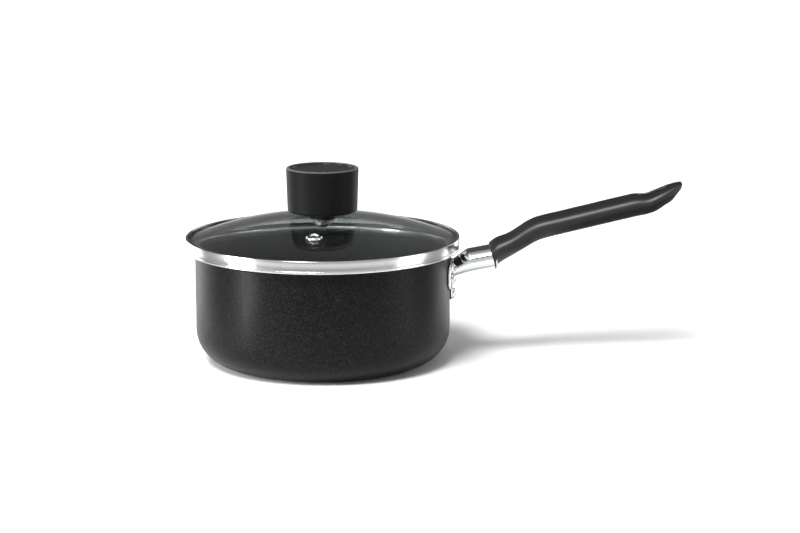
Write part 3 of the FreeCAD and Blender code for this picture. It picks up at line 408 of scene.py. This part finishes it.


def moulded_phenolic(name, hex_dark, hex_light, grain, depth, gloss, shine,
                     hex_highlight=None, highlight_above=0.0):
    """A satin black moulded resin with a mould grain of this size and depth, and a painted highlight above
    a height.
    """
    resin, shader = new_finish(name, {"Specular IOR Level": shine})
    spot_on = add_node(resin, "TexCoord").outputs["Object"]
    fine = add_node(resin, "TexNoise", (), {"Vector": spot_on, "Scale": 1 / grain, "Detail": 3.0})
    slow = add_node(resin, "TexNoise", (), {"Vector": spot_on, "Scale": 1 / HANDLING, "Detail": 2.0})
    tone = add_node(resin, "Mix", {"data_type": "RGBA"},
                    {0: fine.outputs["Fac"], 6: paint(hex_dark), 7: paint(hex_light)})
    # Above the given height the colour turns a paler grey: a painted highlight for the light that the
    # knob's top edge catches.
    if hex_highlight:
        level = add_node(resin, "SeparateXYZ", (), {"Vector": spot_on}).outputs["Z"]
        highlight_mask = add_node(resin, "MapRange", (), {"Value": level, "From Min": highlight_above - HIGHLIGHT_FADE,
                                                "From Max": highlight_above + HIGHLIGHT_FADE})
        tone = add_node(resin, "Mix", {"data_type": "RGBA"},
                        {0: highlight_mask.outputs["Result"], 6: tone.outputs[2], 7: paint(hex_highlight)})
    feed(resin, shader, "Base Color", tone.outputs[2])
    roughness = add_node(resin, "MapRange", (), {"Value": slow.outputs["Fac"],
                                                 "To Min": gloss - 0.04, "To Max": gloss + 0.05})
    feed(resin, shader, "Roughness", roughness.outputs["Result"])
    bump = add_node(resin, "Bump", (), {"Height": fine.outputs["Fac"], "Distance": depth, "Strength": 0.7})
    feed(resin, shader, "Normal", bump.outputs["Normal"])
    return resin


grip_resin = moulded_phenolic("phenolic_grip_satin", "#0c0c0d", "#202022",
                              0.7 * MM, 0.07 * MM, 0.42, 0.45)
grip = eased("handle_grip", "moulded_grip", 0.45 * MM, 14)
stand_for(grip, "handle_grip", "pan", grip_resin)
# The knob's pale grey #5a5a5c at its top edge is a painted highlight.
knob_resin = moulded_phenolic("phenolic_knob_satin", "#0d0d0e", "#151516",
                              0.6 * MM, 0.03 * MM, 0.50, 0.08, "#5a5a5c", knob_top - EDGE_HIGHLIGHT)
dress(knob_resin, "knob_body")
cap_resin = moulded_phenolic("phenolic_knob_cap_polished", "#101011", "#19191a",
                             0.6 * MM, 0.01 * MM, 0.26, 0.5)
dress(cap_resin, "knob_cap")

# %% [markdown]
# ## Silicone
# The gasket, the vent's grommet and the knob's washers are black silicone, matt and a little dusty.

# %% Black silicone
DUST = 1.2 * MM                      # size of a dusty patch
silicone, silicone_shader = new_finish("silicone_black_matt", {"Specular IOR Level": 0.35})
silicone_place = add_node(silicone, "TexCoord").outputs["Object"]
dust = add_node(silicone, "TexNoise", (), {"Vector": silicone_place, "Scale": 1 / DUST, "Detail": 3.0})
dust_tone = add_node(silicone, "Mix", {"data_type": "RGBA"},
                     {0: dust.outputs["Fac"], 6: paint("#0a0a0b"), 7: paint("#1b1b1c")})
feed(silicone, silicone_shader, "Base Color", dust_tone.outputs[2])
dust_rough = add_node(silicone, "MapRange", (), {"Value": dust.outputs["Fac"],
                                                 "To Min": 0.5, "To Max": 0.68})
feed(silicone, silicone_shader, "Roughness", dust_rough.outputs["Result"])
dress(silicone, "lid_gasket", "vent_grommet", "knob_pad_upper", "knob_pad_lower")

# %% [markdown]
# ## Toughened glass
# The lid is soda-lime glass, bent over a mould and tempered, so it is clear and very smooth, with a
# slight grey-green cast. Light passes through it, so its shader transmits. A very faint film, as wiping
# leaves, changes its gloss here and there.

# %% Clear toughened glass
WIPE = 22 * MM                       # size of the marks that wiping leaves
glass, glass_shader = new_finish("soda_lime_glass_tempered", {"IOR": 1.52, "Transmission Weight": 1.0})
glass_place = add_node(glass, "TexCoord").outputs["Object"]
film = add_node(glass, "TexNoise", (), {"Vector": glass_place, "Scale": 1 / WIPE, "Detail": 3.0})
film_rough = add_node(glass, "MapRange", (), {"Value": film.outputs["Fac"], "From Min": 0.45,
                                              "To Min": 0.0, "To Max": 0.035})
feed(glass, glass_shader, "Roughness", film_rough.outputs["Result"])
cast = add_node(glass, "Mix", {"data_type": "RGBA"},
                {0: film.outputs["Fac"], 6: paint("#f4f8f6"), 7: paint("#eef3f1")})
feed(glass, glass_shader, "Base Color", cast.outputs[2])
dress(glass, "lid_glass")
# Lamps light the inside of the pan straight through the glass, as they nearly do in real life.
bpy.data.objects["lid_glass"].visible_shadow = False

# %% [markdown]
# ## The table
# Product pictures are taken on a sheet of white card that is much larger than the view. The card takes
# the pan's soft shadow. The large sheet is hidden from reflections, because the room drawn below gives
# the chrome its light and dark bands. A small sheet just above it, about as wide as the pan and its
# bracket, stays in reflections, so that the underside of the pan still mirrors a white table.

# %% White table
# name, width, and depth below the pan's base
SHEETS = (("table", 30.0, 0.25 * MM), ("near_table", 0.34, 0.2 * MM))
bpy.ops.object.select_all(action="DESELECT")
card, _ = new_finish("white_card", {"Base Color": paint("#f6f6f5"), "Roughness": 0.9,
                                    "Specular IOR Level": 0.1})
for sheet_name, wide, below in SHEETS:
    bpy.ops.mesh.primitive_plane_add(size=wide, location=(0.0, 0.0, -below))
    sheet = bpy.context.object
    sheet.name = sheet_name
    sheet.data.materials.append(card)
bpy.data.objects["table"].visible_glossy = False
print("white card:", [sheet_name for sheet_name, wide, below in SHEETS])

# %% [markdown]
# ## The room
# Shiny pieces show the room round them, so the room is drawn with care, as a dome of light and dark.
# In front, going up, there is a pale table that is brightest near the horizon, a dark line at the
# horizon, a tall grey screen, a nearly black gap, and a bright strip overhead. The back is dim all over.
# The light and dark bands that this puts on chrome are what make it look like metal. The front and back
# walls fade into each other at the sides. Matt surfaces take only two fifths of this light, which is not
# how real light works, so that the key lamp stays strong enough to cast the handle's shadow.

# %% Room light
MATT_SHARE = 0.4                     # the part of the room's light that matt surfaces take
room = bpy.data.worlds.new("room")
bpy.context.scene.world = room
room.use_nodes = True
look = add_node(room, "SeparateXYZ", (), {"Vector": add_node(room, "TexCoord").outputs["Generated"]})
steepness = add_node(room, "MapRange", (), {"Value": look.outputs["Z"],
                                            "From Min": -1.0}).outputs["Result"]


def wall(stops):
    """One wall of the room: how bright it is from straight down, at 0, to straight up, at 1."""
    shades = add_node(room, "ValToRGB", (), {"Fac": steepness})
    while len(shades.color_ramp.elements) < len(stops):
        shades.color_ramp.elements.new(0.5)
    for stop, (position, brightness) in zip(shades.color_ramp.elements, stops):
        stop.position, stop.color = position, (brightness, brightness, brightness, 1.0)
    return shades.outputs["Color"]


front_wall = wall([(0.0, 0.15), (0.3, 0.35), (0.42, 1.0), (0.48, 1.05),     # pale table
                   (0.495, 0.1), (0.515, 0.1),                              # dark line
                   (0.54, 0.7), (0.73, 0.7),                                # grey screen
                   (0.77, 0.05), (0.86, 0.05),                              # nearly black gap
                   (0.89, 1.6), (0.985, 1.6), (1.0, 0.3)])                  # bright strip
back_wall = wall([(0.0, 0.15), (0.3, 0.35), (0.47, 0.42), (0.52, 0.2), (0.6, 0.1), (0.9, 0.08),
                  (1.0, 0.1)])
turning = add_node(room, "MapRange", (), {"Value": look.outputs["Y"],
                                          "From Min": -0.25, "From Max": 0.3})
walls = add_node(room, "Mix", {"data_type": "RGBA"},
                 {0: turning.outputs["Result"], 6: front_wall, 7: back_wall})
glow = add_node(room, "MapRange", (), {"Value": add_node(room, "LightPath").outputs["Is Diffuse Ray"],
                                       "To Min": 1.0, "To Max": MATT_SHARE})
backdrop = room.node_tree.nodes["Background"].inputs
room.node_tree.links.new(walls.outputs[2], backdrop["Color"])
room.node_tree.links.new(glow.outputs["Result"], backdrop["Strength"])
print("room light set")

# %% [markdown]
# ## The lamps
# The key, a soft lamp from the front and a little to the left, high up, throws the handle's long pale
# shadow to the right and the back. A wide overhead silk fills the shadows a little and is kept out of
# reflections. Four tall or wide panels stand round the pan at its own height: a strong narrow one on the
# left draws the bright stripe down the pan and the knob, two weaker ones behind light the far edges, and
# a faint one on the right lifts the handle's side. Their lower parts are below the table. What is there
# lights nothing, but it does show in the chrome, because the large sheet is hidden from reflections.

# %% Lamps
def aim(lamp, target):
    """Turns a lamp at a place."""
    direction = Vector(target) - lamp.location
    lamp.rotation_euler = direction.to_track_quat("-Z", "Y").to_euler()


def panel(name, place_at, target, width, tall, watts):
    """A rectangular soft lamp, with its size in metres."""
    bpy.ops.object.light_add(type="AREA", location=place_at)
    lamp = bpy.context.object
    lamp.name = name
    lamp.data.shape = "RECTANGLE"
    lamp.data.size, lamp.data.size_y = width, tall
    lamp.data.energy = watts
    aim(lamp, target)


def sun(name, towards, strength, spread):
    """A far lamp that shines in one direction; its spread, in degrees, softens its shadows."""
    bpy.ops.object.light_add(type="SUN", location=(0.0, 0.0, 1.0))
    lamp = bpy.context.object
    lamp.name = name
    lamp.data.energy = strength
    lamp.data.angle = math.radians(spread)
    lamp.rotation_euler = Vector(towards).to_track_quat("-Z", "Y").to_euler()
    return lamp


sun("key", (0.036, 0.074, -0.116), 3.7, 22)
silk = sun("silk", (0.0, 0.0, -1.0), 0.3, 160)
silk.visible_glossy = False
middle_of_pan = (0.0, 0.0, pan_high[2] / 2)
for name, place_at, width, tall, watts in (
        ("left_panel", (-1.25, -0.43, 0.1), 0.35, 1.4, 38),
        ("back_left_panel", (-1.0, 1.1, 0.15), 1.0, 1.0, 9),
        ("back_right_panel", (1.0, 1.0, 0.15), 0.8, 1.0, 6),
        ("right_panel", (1.3, -0.3, 0.1), 0.6, 1.4, 5)):
    panel(name, place_at, middle_of_pan, width, tall, watts)

# %% [markdown]
# ## The camera
# The pan is seen a little from above, as from a seat at the table, with a long lens that keeps its
# sides almost parallel.

# %% Camera
CAMERA_AWAY, CAMERA_UP = 1.5, 0.36   # metres
CAMERA_TILT = math.radians(78.72)    # up from straight down
CAMERA_TURN = math.radians(-1.90)    # a little to the right, to take in the handle
LONG_LENS, SENSOR = 106.65, 36.0     # millimetres
bpy.ops.object.camera_add(location=(0.0, -CAMERA_AWAY, CAMERA_UP),
                          rotation=(CAMERA_TILT, 0.0, CAMERA_TURN))
camera = bpy.context.object
camera.data.lens = LONG_LENS
camera.data.sensor_width = SENSOR
bpy.context.scene.camera = camera
bpy.context.scene.view_settings.view_transform = "Standard"
print(f"camera with a {LONG_LENS:.0f} mm lens")
